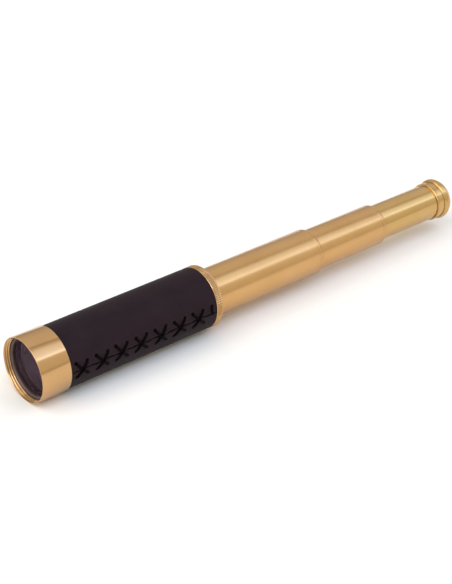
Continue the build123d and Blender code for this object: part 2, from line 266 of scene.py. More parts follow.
def blackened(name, colour, bare, smooth, rough):
    """Chemically blackened brass: nearly black, with a low gloss, and browner where it is worn and where a
    painted highlight lies on the retaining ring's chamfer.
    """
    m = Surface(name)
    marks = m.noise((2500, 12, 12), detail=3, roughness=0.7)
    blotches = m.noise((180, 180, 180), detail=4)
    lighter = tuple(BLOTCH_SHADE * c for c in colour)
    fresh = m.colours(m.spread(blotches, *NOISE, 0, 1), colour, lighter)
    m.drive("Base Color", m.colours(m.wear_and_painted_light(), fresh, bare))
    m.drive("Roughness", m.spread(m.combine(marks, blotches), 0.6, 1.4, smooth, rough))
    m.drive("Normal", m.bump(marks, 0.004 * MM))
    m.set(Specular_IOR_Level=0.35)
    return m.material


def coated_glass(name, index, haze):
    """Optical glass with a thin film of dust and a faint wipe mark on it. Its coating makes it reflect as
    little as glass of a much lower index would, and tints what it does reflect purple."""
    m = Surface(name)
    dust = m.noise((1900, 1900, 1900), detail=3)
    wipe = m.noise((90, 40, 260), detail=3)
    clear = m.spread(wipe, *NOISE, 1 - 0.7 * haze, 1 - 1.3 * haze)
    clear = m.combine(clear, m.spread(dust, 0.66, 0.8, 0, haze), "SUBTRACT")
    m.drive("Transmission Weight", clear)
    # Its haze of dust and wipe is tinted purple: a painted reflection of the coating.
    m.drive("Base Color", m.colours(m.spread(wipe, *NOISE, 0, 1), HAZE_PAINTED_REFLECTION, WIPE_PAINTED_REFLECTION))
    m.set(IOR=index, Roughness=0.0, Specular_Tint=(*COATING, 1))
    return m.material


def leather_material():
    """Smooth dark leather: a fine pebble grain with pores and creases, burnished beside the seam, with a
    painted glint on the lips round its holes and painted shade, nearly black, in the holes and under the
    strands."""
    m = Surface("leather")
    pebbles = m.cells((1500, 1500, 1500))
    pores = m.noise((2600, 2600, 2600), detail=3, roughness=0.6)
    creases = m.cells((240, 330, 330), feature="DISTANCE_TO_EDGE")
    tone = m.noise((60, 90, 90), detail=4)
    # The first is burnish and a painted glint, the second painted shade in the holes and under the strands.
    burnish_and_glint, waxed = m.wear_and_painted_light(), m.wear_and_painted_light(-1)
    mix = m.combine(m.spread(tone, *NOISE, 0.0, 0.7), m.spread(pebbles, 0.1, 0.7, 0.3, 0.0))
    # Lighter where burnished beside the seam and where a painted glint lies on a hole's lip.
    clean = m.colours(m.combine(mix, burnish_and_glint), LEATHER_DARK, LEATHER_BURNISH_AND_GLINT)
    # Nearly black with painted shade in the holes and under the strands.
    m.drive("Base Color", m.colours(waxed, clean, LEATHER_PAINTED_SHADE))
    rough = m.spread(tone, *NOISE, 0.50, 0.62)
    m.drive("Roughness", m.combine(rough, m.combine(burnish_and_glint, 0.25, "MULTIPLY"), "SUBTRACT"))
    grain = m.bump(m.combine(pebbles, m.combine(pores, 0.5, "MULTIPLY")), 0.05 * MM, 0.6)
    m.drive("Normal", m.bump(m.spread(creases, 0.0, 0.12, 0.0, 1.0), 0.03 * MM, 0.35, grain))
    m.set(Specular_IOR_Level=0.10)
    return m.material


def waxed_thread():
    """Black cord with fine fibres, a little glossier where its wax is thick."""
    m = Surface("waxed_thread")
    fibres = m.noise((3200, 3200, 3200), detail=4, roughness=0.7)
    wax = m.noise((700, 700, 700), detail=2)
    m.drive("Base Color", m.colours(m.spread(wax, *NOISE, 0, 1), CORD_DARK, CORD_WAXY))
    m.drive("Roughness", m.spread(wax, *NOISE, 0.42, 0.6))
    m.drive("Normal", m.bump(fibres, 0.05 * MM, 0.7))
    m.set(Specular_IOR_Level=0.03)
    return m.material


def felt():
    """Dark felt with a fluffy nap."""
    m = Surface("felt")
    fluff = m.noise((3000, 3000, 3000), detail=5, roughness=0.8)
    m.drive("Base Color", m.colours(m.spread(fluff, *NOISE, 0, 1), FELT_DARK, FELT_LIGHT))
    m.drive("Normal", m.bump(fluff, 0.15 * MM))
    m.set(Roughness=0.95, Sheen_Weight=0.3)
    return m.material


TURNED = {"marks_scale": (2200, 9, 9), "marks_depth": 0.003 * MM}       # marks that run round the axis
DRAWN = {"marks_scale": (12, 900, 900), "marks_depth": 0.0006 * MM}     # marks that run along the axis

MATERIALS = {
    "polished_brass": brass("polished_brass", light=(0.61, 0.365, 0.165), dark=(0.54, 0.315, 0.135),
                            smooth=0.08, rough=0.16, anisotropic=0.4, **TURNED),
    "tube_brass": brass("tube_brass", light=(0.63, 0.374, 0.156), dark=(0.57, 0.327, 0.126),
                        smooth=0.22, rough=0.30, **DRAWN),
    "eyepiece_brass": brass("eyepiece_brass", light=(0.61, 0.390, 0.155), dark=(0.55, 0.345, 0.125),
                            smooth=0.20, rough=0.28, **DRAWN),
    "plain_brass": brass("plain_brass", light=(0.58, 0.37, 0.17), dark=(0.48, 0.29, 0.12),
                         smooth=0.25, rough=0.45, **TURNED),
    "blackened_brass": blackened("blackened_brass", colour=(0.011, 0.0070, 0.0068),
                                 bare=(0.105, 0.060, 0.050), smooth=0.2, rough=0.35),
    "coated_glass": coated_glass("coated_glass", index=1.09, haze=0.028),
    "leather": leather_material(),
    "waxed_thread": waxed_thread(),
    "felt": felt(),
}
INNER_GLASS = coated_glass("inner_glass", index=1.06, haze=0.0)


def dress_cad_nodes():
    """Gives every CAD node its material. The lenses inside are cleaner glass than the eye lens."""
    slot_of = {row["node"]: row["material_slot"] for row in frame["record"]["subparts"]}
    for name, node in frame["nodes"].items():
        inside = slot_of[name] == "coated_glass" and name != "eye_lens"
        node.data.materials.clear()
        node.data.materials.append(INNER_GLASS if inside else MATERIALS[slot_of[name]])


dress_cad_nodes()


# ---- mesh tools ----

def round_axis(x, angle, radius):
    """The points at these stations, angles and radii."""
    return np.stack([x, -radius * np.sin(angle), radius * np.cos(angle)], -1)


def signed(angle):
    """The same angle, between minus and plus half a turn."""
    return (angle + math.pi) % TURN - math.pi


def bell(distance, width):
    return np.exp(-(distance / width) ** 2)


def mesh_piece(name, points, faces, slot, body, *nodes, wear_and_painted_light=None):
    """Makes a piece, gives it its material, lets it ride on its body and stand for its CAD nodes."""
    mesh = bpy.data.meshes.new(name)
    mesh.from_pydata(np.asarray(points).tolist(), [], faces)
    mesh.polygons.foreach_set("use_smooth", [True] * len(mesh.polygons))
    # Each point's value holds how worn or blackened it is, and also painted shade and painted highlights.
    if wear_and_painted_light is not None:
        attribute = mesh.attributes.new("wear_and_painted_light", "FLOAT", "POINT")
        attribute.data.foreach_set("value", np.asarray(wear_and_painted_light, np.float32))
    mesh.materials.append(MATERIALS[slot])
    piece = add_object(name, mesh)
    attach(piece, body)
    if nodes:
        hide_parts(*nodes)
    return piece


def rounded(corners, steps=4):
    """A closed profile from (x, radius, rounding) corners. Returns its points and how worn each one is."""
    points, wear_and_painted_light = [], []
    count = len(corners)
    for i, (x, r, rounding) in enumerate(corners):
        here = np.array((x, r), float)
        if rounding <= 0:
            points.append(here)
            wear_and_painted_light.append(0.0)
            continue
        before = np.array(corners[i - 1][:2], float) - here
        after = np.array(corners[(i + 1) % count][:2], float) - here
        a, b = before / np.linalg.norm(before), after / np.linalg.norm(after)
        half = math.acos(np.clip(a @ b, -1, 1)) / 2
        reach = rounding / math.tan(half)
        centre = here + (a + b) / np.linalg.norm(a + b) * rounding / math.sin(half)
        first, last = here + a * reach - centre, here + b * reach - centre
        start, stop = math.atan2(first[1], first[0]), math.atan2(last[1], last[0])
        swing = signed(stop - start)
        for k in range(steps + 1):
            angle = start + swing * k / steps
            points.append(centre + rounding * np.array((math.cos(angle), math.sin(angle))))
            wear_and_painted_light.append(1.0 if 0 < k < steps else 0.5)
    return np.array(points), np.array(wear_and_painted_light)


def lathe(name, profile, slot, body, *nodes, wear_and_painted_light=None, segments=240, shape=None, sharp_deg=35):
    """Turns a closed (x, radius) profile about the axis. shape(x, radius, angle) may move its points, and
    returns the new x and radius and how dark each point is made: painted shade above 0, lighter below 0.
    A ring of edges where the profile bends by more than sharp_deg is sharp."""
    profile = np.asarray(profile, float)
    after = np.roll(profile, -1, 0)
    if (profile[:, 0] * after[:, 1] - after[:, 0] * profile[:, 1]).sum() > 0:
        profile = profile[::-1]
        wear_and_painted_light = None if wear_and_painted_light is None else wear_and_painted_light[::-1]
    count = len(profile)
    x = np.repeat(profile[:, 0], segments)
    r = np.repeat(profile[:, 1], segments)
    angle = np.tile(np.arange(segments) * TURN / segments, count)
    wear_and_painted_light_all = np.zeros(count * segments) if wear_and_painted_light is None else np.repeat(wear_and_painted_light, segments)
    if shape is not None:
        x, r, blackening_and_painted_shade = shape(x, r, angle)
        wear_and_painted_light_all = wear_and_painted_light_all - blackening_and_painted_shade
    ahead = np.roll(profile, -1, 0) - profile
    heading = np.arctan2(ahead[:, 1], ahead[:, 0])
    bend = np.abs(signed(heading - np.roll(heading, 1)))
    sharp_rows = np.flatnonzero(bend > math.radians(sharp_deg))
    faces = []
    for i in range(count):
        a = i * segments + np.arange(segments)
        b = (i + 1) % count * segments + np.arange(segments)
        faces += np.stack([a, np.roll(a, -1), np.roll(b, -1), b], 1).tolist()
    piece = mesh_piece(name, round_axis(x, angle, r), faces, slot, body, *nodes, wear_and_painted_light=wear_and_painted_light_all)
    ends = np.zeros(2 * len(piece.data.edges), int)
    piece.data.edges.foreach_get("vertices", ends)
    row_a, row_b = ends[0::2] // segments, ends[1::2] // segments
    sharp = (row_a == row_b) & np.isin(row_a, sharp_rows)
    piece.data.attributes.new("sharp_edge", "BOOLEAN", "EDGE").data.foreach_set("value", sharp)
    return piece


# ---- objective ----

RIM_INNER = 17.55 * MM
RIM_ROUNDING = 0.13 * MM
MOUTH_ROUNDING = 0.04 * MM
REAR_ROUNDING = 0.2 * MM
THREAD_CREST = 16.95 * MM
THREAD_DEPTH = 0.55 * MM
THREAD_PITCH = 1.3 * MM
THREAD_START = 0.1 * MM
THREAD_STOP = 0.04 * MM     # before the retaining ring's face
THREAD_RINGS = 80           # rings of points along the thread
RUN_IN = 0.5 * MM           # the length over which the thread begins
RUN_OUT = 0.2 * MM          # the length over which it ends
SHADE_TURN = 0.06           # how far the painted shade sits from the steepest side, in turns
CELL_WALL = 0.3 * MM        # what lies further in than this is not the cell's outside
RING_CHAMFER = 0.85 * MM
CROWN_EDGE = 1.8 * MM       # the front lens's thickness at its edge
CROWN_CLEAR = 15.2 * MM     # the radius out to which it is curved
LENS_GAP = 0.12 * MM        # from the front lens to the one behind
LENS_POINTS = 40            # points along each face's curve
NEAR_AXIS = 0.02 * MM       # how close to the axis a face's curve ends


def make_cell():
    """The cell, with a helical thread cut into its mouth right behind a thin rim."""
    thread_end = retainer.front
    stations = np.linspace(THREAD_START, thread_end - THREAD_STOP, THREAD_RINGS)
    profile, wear_and_painted_light = rounded([
        (0, cell.outer, RIM_ROUNDING),
        (0, RIM_INNER, MOUTH_ROUNDING),
        *[(x, THREAD_CREST, 0) for x in stations],
        (thread_end, THREAD_CREST, 0),
        (thread_end, retainer.outer, 0),
        (retainer.rear, retainer.outer, 0),
        (retainer.rear, crown.outer + FIT, 0),
        (flint.rear, crown.outer + FIT, 0),
        (flint.rear, cell.inner, 0),
        (barrel_tube.front, cell.inner, 0),
        (barrel_tube.front, barrel_tube.outer, 0),
        (cell.rear, barrel_tube.outer, 0),
        (cell.rear, cell.outer, REAR_ROUNDING),
    ])
    seats = (profile[:, 0] >= thread_end) & (profile[:, 1] < cell.outer - CELL_WALL)
    wear_and_painted_light[seats] = -1  # blackened behind the thread
    low, high = stations[0], stations[-1]

    def cut(x, r, angle):
        phase = ((x - low) / THREAD_PITCH + 0.5 - angle / TURN) % 1.0
        begun = np.clip((x - low) / RUN_IN, 0, 1)
        groove = np.maximum(0.5 - 0.5 * np.cos(TURN * phase), 1 - begun)
        on_thread = (np.abs(r - THREAD_CREST) < TINY) & (x >= low) & (x <= high)
        share = np.clip((high - x) / RUN_OUT, 0, 1) * on_thread
        # Painted shade where it faces into the tube, a painted highlight where it faces out, and painted
        # shade where it begins.
        facing_in = np.clip(1.5 * np.sin(TURN * (phase - SHADE_TURN)), -0.7, 1)
        blackening_and_painted_shade = facing_in * begun + 0.6 * (1 - begun)
        return x, r + THREAD_DEPTH * groove * share, blackening_and_painted_shade * share

    lathe("objective_cell_turned", profile, "polished_brass", "barrel", "objective_cell", wear_and_painted_light=wear_and_painted_light,
          segments=320, shape=cut)


def make_retaining_ring():
    """The blackened ring that holds the lens. Its chamfer and bore are worn; on the chamfer this is partly a
    painted highlight.
    """
    front, rear, outer, inner = retainer.front, retainer.rear, retainer.outer - FIT, retainer.inner
    soft = 0.05 * MM
    rows = [  # station, radius, wear, which on the chamfer is partly a painted highlight
        (front, outer, 0),
        (front, inner + RING_CHAMFER + soft, 0.3),
        (front + 0.02 * MM, inner + RING_CHAMFER, 0.85),
        (front + RING_CHAMFER, inner + 0.02 * MM, 0.7),
        (front + RING_CHAMFER + soft, inner, 0.5),
        (rear, inner, 0.35),
        (rear, outer, 0),
    ]
    lathe("retaining_ring_turned", [row[:2] for row in rows], "blackened_brass", "barrel",
          "objective_retaining_ring", wear_and_painted_light=np.array([row[2] for row in rows]), sharp_deg=50)


def make_crown():
    """The front lens, ground to the curves of its CAD node."""
    edge_front, edge_rear = retainer.rear, retainer.rear + CROWN_EDGE - LENS_GAP
    arcs = []
    for vertex, edge, side in ((crown.front, edge_front, 1), (crown.rear - LENS_GAP, edge_rear, -1)):
        sag = abs(edge - vertex)
        radius = (CROWN_CLEAR ** 2 + sag ** 2) / (2 * sag)
        reach = np.linspace(CROWN_CLEAR, NEAR_AXIS, LENS_POINTS)[::side]
        arcs.append([(vertex + side * (radius - math.sqrt(radius ** 2 - y * y)), y) for y in reach])
    profile = [(edge_front, crown.outer), *arcs[0], *arcs[1], (edge_rear, crown.outer)]
    lathe("crown_lens_ground", profile, "coated_glass", "barrel", "objective_crown_lens", segments=180,
          sharp_deg=20)


make_cell()
make_retaining_ring()
make_crown()


# ---- collar ----

KNURLS = 92
KNURL_DEPTH = 0.30 * MM
KNURL_FROM = 0.75 * MM      # behind the collar's front edge
KNURL_TO = 0.35 * MM        # before its rear edge
KNURL_FADE = 0.5 * MM       # the length over which the knurling runs out
KNURL_LOW = 0.9 * MM        # how far below the collar's top it still cuts
KNURL_POINTS = 8            # points round the axis for each knurl
RIDGE_STOP = 1.1 * MM       # where its even top ends, before its rear edge
RIDGE_STEPS = 6             # steps between rings of points along that top
COLLAR_RIM = 0.5 * MM       # the length of the plain rim
COLLAR_NICK = 0.2 * MM      # the depth of the groove behind the rim
COLLAR_ROUNDING = 0.95 * MM


def make_collar():
    """The collar: a bright narrow rim, then straight knurling that runs out over the rounded rear edge."""
    front, rear = leather.rear, collar.rear
    low, high = front + KNURL_FROM, rear - KNURL_TO
    ridge_end = rear - RIDGE_STOP
    felt_groove = felt_1.outer + FELT_FIT
    ridge = [(low + (ridge_end - low) * k / RIDGE_STEPS, collar.outer, 0) for k in range(RIDGE_STEPS + 1)]
    profile, wear_and_painted_light = rounded([
        (collar.front, barrel_tube.inner, 0),
        (front, barrel_tube.inner, 0),
        (front, collar.outer, 0.2 * MM),
        (front + COLLAR_RIM, collar.outer, 0.1 * MM),
        (front + COLLAR_RIM + 0.06 * MM, collar.outer - COLLAR_NICK, BROKEN),
        (front + COLLAR_RIM + 0.2 * MM, collar.outer - COLLAR_NICK, BROKEN),
        *ridge,
        (rear, collar.outer, COLLAR_ROUNDING),
        (rear, collar.inner, 0.12 * MM),
        (felt_1.rear + FIT, collar.inner, 0),
        (felt_1.rear + FIT, felt_groove, 0),
        (collar.front, felt_groove, 0),
    ], steps=7)

    def knurl(x, r, angle):
        knurled = (r > collar.outer - KNURL_LOW) * (x >= low - TINY)
        fade = np.clip((high - x) / KNURL_FADE, 0, 1) * knurled
        tooth = np.abs((angle * KNURLS / TURN) % 1.0 * 2 - 1)
        groove = fade * np.clip(1.35 * (1 - tooth) - 0.1, 0, 1)
        # Painted shade at the bottom of a groove, and polished by hands on its crests.
        blackening_and_painted_shade = 0.45 * groove ** 2 - 0.7 * fade * (groove < 0.35)
        return x, r - KNURL_DEPTH * groove, blackening_and_painted_shade

    lathe("collar_knurled", profile, "polished_brass", "barrel", "barrel_collar", wear_and_painted_light=wear_and_painted_light,
          segments=KNURLS * KNURL_POINTS, shape=knurl, sharp_deg=30)


make_collar()


# ---- draws ----

END_LIP = 0.1 * MM          # the flat left round the bore at a shoulder's end
SHOULDER_POINTS = 15        # points along its rounding


def make_tube(number, span, slot):
    """A drawn tube, blackened inside."""
    profile, wear_and_painted_light = rounded([
        (span.front, span.outer, BROKEN),
        (span.front, span.inner, 0),
        (span.rear, span.inner, 0),
        (span.rear, span.outer, BROKEN),
    ])
    wear_and_painted_light[profile[:, 1] < span.inner + TINY] = -1
    lathe(f"draw_{number}_tube_polished", profile, slot, f"draw_{number}", f"draw_tube_{number}", wear_and_painted_light=wear_and_painted_light)


def make_shoulder(number, end, tube, felt_ring, rounding):
    """The rounded shoulder at a draw's rear end, with the groove of its felt ring."""
    head = tube.rear
    drop = end.outer - end.inner - END_LIP
    run = math.sqrt(rounding ** 2 - (rounding - drop) ** 2)
    arc = [(end.rear - run + rounding * math.sin(a), end.outer - rounding + rounding * math.cos(a))
           for a in np.linspace(0, math.asin(run / rounding), SHOULDER_POINTS)]
    felt_groove = felt_ring.outer + FELT_FIT
    profile = [
        (end.front, tube.inner),
        (head, tube.inner),
        (head, end.outer - BROKEN),
        (head + BROKEN, end.outer),
        *arc,
        (end.rear, end.inner),
        (felt_ring.rear + FIT, end.inner),
        (felt_ring.rear + FIT, felt_groove),
        (end.front, felt_groove),
    ]
    lathe(f"draw_{number}_shoulder", profile, "tube_brass", f"draw_{number}", f"draw_{number}_end_collar",
          wear_and_painted_light=np.zeros(len(profile)), sharp_deg=30)


make_tube(1, tube_1, "tube_brass")
make_tube(2, tube_2, "tube_brass")
make_tube(3, tube_3, "eyepiece_brass")
make_shoulder(1, end_1, tube_1, felt_2, 2.9 * MM)
make_shoulder(2, end_2, tube_2, felt_3, 2.6 * MM)


# ---- eyepiece ----

BAND = 11.17 * MM           # the plain band's radius
BEAD_LENGTH = 1.2 * MM
BEAD_ROUNDING = 0.5 * MM
SPIGOT = 10.9 * MM          # the radius where the cap fits over the housing
LENS_SLEEVE = 9.45 * MM     # the housing's bore round the lens tube
FLANGE_SLEEVE = 10.05 * MM  # its bore inside the flange
FLANGE_FOOT = BAND + 0.2 * MM
FLANGE_HALF = 2.15 * MM     # half the flange's length
FLANGE_POINTS = 21
CAP_END = 10.0 * MM         # the flat end's radius
EYE_HOLE = 5.0 * MM         # its radius
EYE_HOLE_FROM = 0.8 * MM    # behind the housing's rear end
EYE_HOLE_TO = 1.72 * MM


def make_housing():
    """The eyepiece housing: a bead, a plain band and the spigot inside the cap."""
    bead_rear = housing.front + BEAD_LENGTH
    profile, wear_and_painted_light = rounded([
        (housing.front, tube_3.outer, 0),
        (housing.front, housing.outer, BEAD_ROUNDING),
        (bead_rear, housing.outer, BEAD_ROUNDING),
        (bead_rear, BAND, 0.04 * MM),
        (cap.front, BAND, 0.1 * MM),
        (cap.front, SPIGOT, 0),
        (housing.rear, SPIGOT, 0),
        (housing.rear, FLANGE_SLEEVE, 0),
        (cap.front, FLANGE_SLEEVE, 0),
        (cap.front, LENS_SLEEVE, 0),
        (tube_3.rear, LENS_SLEEVE, 0),
        (tube_3.rear, tube_3.outer, 0),
    ])
    lathe("eyepiece_housing_turned", profile, "eyepiece_brass", "draw_3", "eyepiece_housing", wear_and_painted_light=wear_and_painted_light)


def make_cap():
    """The eye cap: a big rounded flange, a crowned end and a dished eye hole."""
    rise = cap.outer - FLANGE_FOOT
    radius = (FLANGE_HALF ** 2 + rise ** 2) / (2 * rise)
    swing = math.asin(FLANGE_HALF / radius)
    centre = cap.front + FLANGE_HALF
    flange = [(centre + radius * math.sin(a), cap.outer - radius + radius * math.cos(a))
              for a in np.linspace(-swing, swing, FLANGE_POINTS)]
    crowned = [(cap.rear - 0.92 * MM, 11.09 * MM), (cap.rear - 0.5 * MM, 10.75 * MM),
               (cap.rear - 0.22 * MM, 10.42 * MM), (cap.rear - 0.06 * MM, 10.2 * MM)]
    bore = lens_tube.inner
    profile = [
        (cap.front, SPIGOT),
        *flange,
        *crowned,
        (cap.rear, CAP_END),
        (cap.rear, CAP_END - 0.6 * MM),
        (cap.rear - 0.05 * MM, CAP_END - 0.7 * MM),
        (housing.rear + EYE_HOLE_TO + 0.08 * MM, EYE_HOLE + 0.08 * MM),
        (housing.rear + EYE_HOLE_TO, EYE_HOLE),
        (housing.rear + EYE_HOLE_FROM, EYE_HOLE),
        (housing.rear + EYE_HOLE_FROM, bore),
        (housing.rear, bore),
        (housing.rear, SPIGOT),
    ]
    lathe("eye_cap_turned", profile, "eyepiece_brass", "draw_3", "eye_cap", wear_and_painted_light=np.zeros(len(profile)),
          sharp_deg=40)


make_housing()
make_cap()


# ---- stitches ----

SEAM = math.radians(92.5)   # where the leather's edges meet
STITCH_MID = math.radians(91.65)
STITCH_HALF_ANGLE = math.radians(13.85)
STITCHES = 7
STITCH_FIRST = 24.5 * MM    # the station of the first stitch's middle
STITCH_PITCH = 12.62 * MM
STITCH_HALF_X = 3.6 * MM
LAST_STITCH = 109.7 * MM    # the station of the half stitch
HOLE_SHAKE = 0.22 * MM      # how far the holes stray along the seam
HOLE_TURN = math.radians(0.7)   # and across it
SHAKE_SEED = 7


def make_strands():
    """The ends of every strand, as (x, angle) pairs, and whether it passes over the other one."""
    rng = np.random.default_rng(SHAKE_SEED)
    strands = []
    top, bottom = STITCH_MID - STITCH_HALF_ANGLE, STITCH_MID + STITCH_HALF_ANGLE
    for k in range(STITCHES):
        middle = STITCH_FIRST + k * STITCH_PITCH
        left, right = middle - STITCH_HALF_X, middle + STITCH_HALF_X
        shake = rng.normal(0, 1, 8)
        x = np.array([left, right, left, right]) + HOLE_SHAKE * shake[:4]
        a = np.array([top, bottom, bottom, top]) + HOLE_TURN * shake[4:]
        strands.append(((x[0], a[0]), (x[1], a[1]), False))
        strands.append(((x[2], a[2]), (x[3], a[3]), True))
    strands.append(((LAST_STITCH, top), (LAST_STITCH + 0.3 * MM, SEAM), False))
    return strands


STRANDS = make_strands()


# ---- leather ----

EDGE_ROUNDING = 0.5 * MM
SWELL_HEIGHT = 0.10 * MM    # how high the leather swells beside the seam
SWELL_AT = 1.2 * MM         # from its edge
SWELL_WIDE = 0.8 * MM
SEAM_GAP = 0.38 * MM        # half the width of the open seam
SEAM_PULL = 0.20 * MM       # how much of it each stitch closes
SEAM_PULL_LENGTH = 2.2 * MM
SEAM_WAVE_WIDE = math.radians(14)   # how far from the seam the leather follows its wave
HOLE_DEPTH = 0.65 * MM
HOLE_RADIUS = 0.80 * MM
LIP_HEIGHT = 0.20 * MM      # the raised lip round a hole
LIP_RADIUS = 1.45 * MM
LIP_WIDE = 0.42 * MM
GLINT_RADIUS = 1.4 * MM   # a lighter, glossier ring on that lip: a painted glint
GLINT_WIDE = 0.4 * MM
HOLE_SHADE_RADIUS = 0.85 * MM      # the painted shade in a hole
STRAND_SHADE_WIDE = 0.75 * MM        # the painted shadow under a strand
PRESS_DEPTH = 0.14 * MM     # how far a strand presses the leather in
PRESS_WIDE = 0.9 * MM
UNEVEN = 0.02 * MM          # how unevenly the leather lies on the barrel
END_DROP = 0.12 * MM        # how far its ends are drawn in
END_DROP_LENGTH = 0.35 * MM
LEATHER_FLOOR = 0.1 * MM    # the least thickness
LEATHER_RINGS = 300         # points along the sheet
SEAM_POINTS = 60            # points round it within 20 degrees of the seam, on each side
BACK_POINTS = 70            # and from there to its back

# Waves along the seam, each with its size, its radians per metre and its phase.
SEAM_WAVES = [(0.20 * MM, 420, 0.0), (0.10 * MM, 1130, 1.3), (0.05 * MM, 2300, 0.4)]
GAP_WAVES = [(0.10 * MM, 760, 2.0), (0.05 * MM, 1900, 0.0)]


def ripple(x, waves):
    return sum(size * np.sin(x * rate + phase) for size, rate, phase in waves)


def seam_gap(x):
    """Half the width of the open seam at a station: it varies, and closes at the stitches."""
    gap = SEAM_GAP + ripple(x, GAP_WAVES)
    for k in range(STITCHES):
        gap = gap - SEAM_PULL * bell(x - STITCH_FIRST - k * STITCH_PITCH, SEAM_PULL_LENGTH)
    return gap


def leather_relief(x, angle, offset):
    """The leather's height over its plain outside, and how burnished or lit by a painted glint it is
    (below 0, how darkly painted with shade).
    """
    outer = leather.outer
    edge = np.minimum(offset, TURN - offset) * outer
    inside = np.clip(1 - edge / EDGE_ROUNDING, 0, 1)
    height = -EDGE_ROUNDING * (1 - np.sqrt(1 - inside ** 2))
    height += SWELL_HEIGHT * bell(edge - SWELL_AT, SWELL_WIDE)
    wear_and_painted_light = 0.25 * bell(edge - 0.5 * MM, 0.4 * MM)
    for (xa, aa), (xb, ab), _ in STRANDS:
        for hole_x, hole_angle in ((xa, aa), (xb, ab)):
            away = np.hypot(x - hole_x, signed(angle - hole_angle) * outer)
            height -= HOLE_DEPTH * bell(away, HOLE_RADIUS)
            height += LIP_HEIGHT * bell(away - LIP_RADIUS, LIP_WIDE)
            # A painted glint on the lip round each hole, and painted shade down in the hole.
            wear_and_painted_light += 0.40 * bell(away - GLINT_RADIUS, GLINT_WIDE) - 1.3 * bell(away, HOLE_SHADE_RADIUS)
        along_x, along_turn = xb - xa, (ab - aa) * outer
        from_turn = signed(angle - aa) * outer
        t = ((x - xa) * along_x + from_turn * along_turn) / (along_x ** 2 + along_turn ** 2)
        t = np.clip(t, 0, 1)
        across = np.hypot(x - xa - t * along_x, from_turn - t * along_turn)
        height -= PRESS_DEPTH * bell(across, PRESS_WIDE)
        # Painted shadow under the strand.
        wear_and_painted_light -= 0.6 * bell(across, STRAND_SHADE_WIDE)
    height += UNEVEN * np.sin(x * 130 + 3 * np.cos(offset)) * np.cos(2 * offset)
    for end in (leather.front, leather.rear):
        height -= END_DROP * np.exp(-np.abs(x - end) / END_DROP_LENGTH)
    return height, np.clip(wear_and_painted_light, -1, 1)


def make_leather():
    """The leather as one closed sheet round the barrel: its edges meet in a slightly open, wavy seam."""
    outer, inner = leather.outer, leather.inner
    fine = math.radians(20)
    near = np.linspace(0, 1, SEAM_POINTS) ** 1.4 * fine
    far = np.linspace(fine, math.pi, BACK_POINTS)[1:]
    one_side = np.concatenate([near, far])
    offsets = np.concatenate([one_side, TURN - one_side[::-1][1:]])
    stations = np.linspace(leather.front, leather.rear, LEATHER_RINGS)
    x, offset = np.meshgrid(stations, offsets, indexing="ij")
    gap = (seam_gap(stations) / outer)[:, None]
    near_seam = bell(np.minimum(offset, TURN - offset), SEAM_WAVE_WIDE)
    wave = (ripple(stations, SEAM_WAVES) / outer)[:, None] * near_seam
    angle = SEAM + wave + gap + offset * (1 - gap * 2 / TURN)
    height, wear_and_painted_light = leather_relief(x, angle, offset)
    radius = np.maximum(outer + height, inner + LEATHER_FLOOR)
    top = round_axis(x, angle, radius).reshape(-1, 3)
    under = round_axis(x, angle, np.full_like(radius, inner)).reshape(-1, 3)
    count = x.size
    index = np.arange(count).reshape(x.shape)
    a, b, c, d = index[:-1, :-1], index[1:, :-1], index[1:, 1:], index[:-1, 1:]
    rim = np.concatenate([index[:, 0], index[-1, 1:], index[::-1, -1][1:], index[0, ::-1][1:-1]])
    faces = np.concatenate([
        np.stack([a, d, c, b], -1).reshape(-1, 4),
        np.stack([a, b, c, d], -1).reshape(-1, 4) + count,
        np.stack([rim, np.roll(rim, -1), np.roll(rim, -1) + count, rim + count], -1),
    ])
    wear_and_painted_light = np.concatenate([wear_and_painted_light.ravel(), np.zeros(count)])
    piece = mesh_piece("leather_cover", np.concatenate([top, under]), faces.tolist(), "leather", "barrel",
                       "leather_wrap", wear_and_painted_light=wear_and_painted_light)


make_leather()


# ---- lacing ----

CORD_WIDE = 1.35 * MM
CORD_THICK = 0.95 * MM
CORD_RINGS = 56             # rings of points along a strand
CORD_AROUND = 20            # points in each ring
CORD_LIFT = 0.36 * MM       # the cord's middle over the leather
CROSS_LIFT = 0.62 * MM      # how much higher the upper strand is at the crossing
CROSS_WIDE = 0.95 * MM
CORD_BOW = 0.42 * MM        # how far a strand bows to one side
BOW_VARIES = 0.25 * MM      # and how much that differs from strand to strand
DIVE_DEPTH = 1.35 * MM      # how far a strand's end goes down into its hole
DIVE_LENGTH = 0.95 * MM
PLY_DEPTH = 0.10            # as a share of the cord's size
PLY_TWIST = 1500            # radians per metre


def cord_line(number, start, stop, over):
    """A strand's middle line and, along it, the angle round the axis and the length from its start."""
    outer = leather.outer
    (xa, aa), (xb, ab) = start, stop
    t = np.linspace(0, 1, CORD_RINGS)
    length = math.hypot(xb - xa, (ab - aa) * outer)
    side_turn, side_x = (xb - xa) / length, -(ab - aa) * outer / length
    bow = (CORD_BOW + BOW_VARIES * math.sin(number * 2.4)) * np.sin(math.pi * t)
    x = xa + (xb - xa) * t + side_x * bow
    angle = aa + (ab - aa) * t + side_turn * bow / outer
    from_end = np.minimum(t, 1 - t) * length
    lift = CORD_LIFT - DIVE_DEPTH * np.clip(1 - from_end / DIVE_LENGTH, 0, 1) ** 1.8
    if over:
        lift = lift + CROSS_LIFT * bell((t - 0.5) * length, CROSS_WIDE)
    return round_axis(x, angle, outer + lift), angle, t * length


def unit(vectors):
    return vectors / np.linalg.norm(vectors, axis=1)[:, None]


